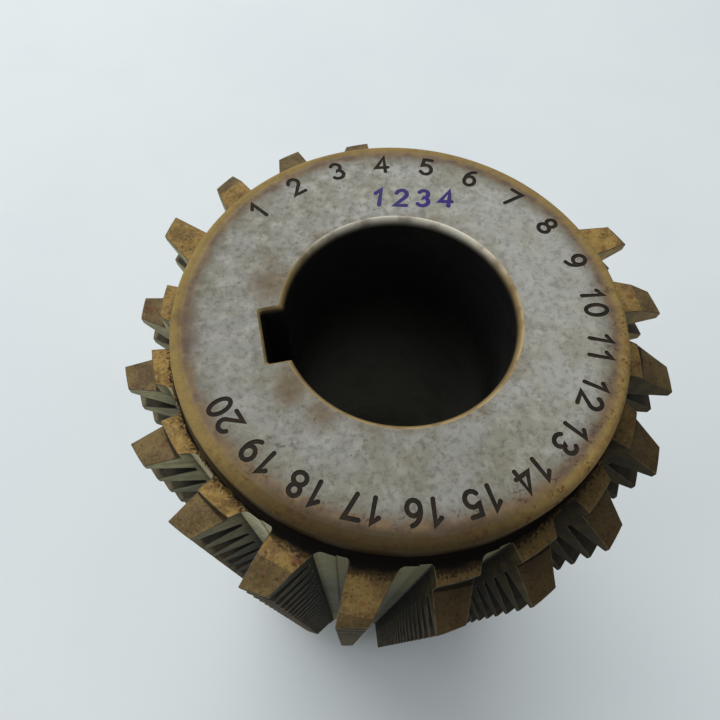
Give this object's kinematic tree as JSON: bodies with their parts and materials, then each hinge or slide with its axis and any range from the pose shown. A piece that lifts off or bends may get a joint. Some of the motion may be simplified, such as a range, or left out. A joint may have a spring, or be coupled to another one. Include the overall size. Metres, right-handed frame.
{
  "type": "gear hob",
  "caption": "Cylindrical gear-cutting hob with relieved helical teeth, straight gashes, plain end hubs and a keyed through bore.",
  "frame": {"origin": "centre of the lower hub face, on the bore's axis", "axes": "+Z along the bore towards the other hub face, keyway on the -X side, right-hand thread"},
  "size_m": [0.0988, 0.0988, 0.2],
  "materials": {
    "gear_hob": "hardened tool steel, ground grey hub faces, gold-brown stained rims and teeth"
  },
  "bodies": {
    "root": {"gear_hob": "gear_hob"}
  },
  "joints": []
}
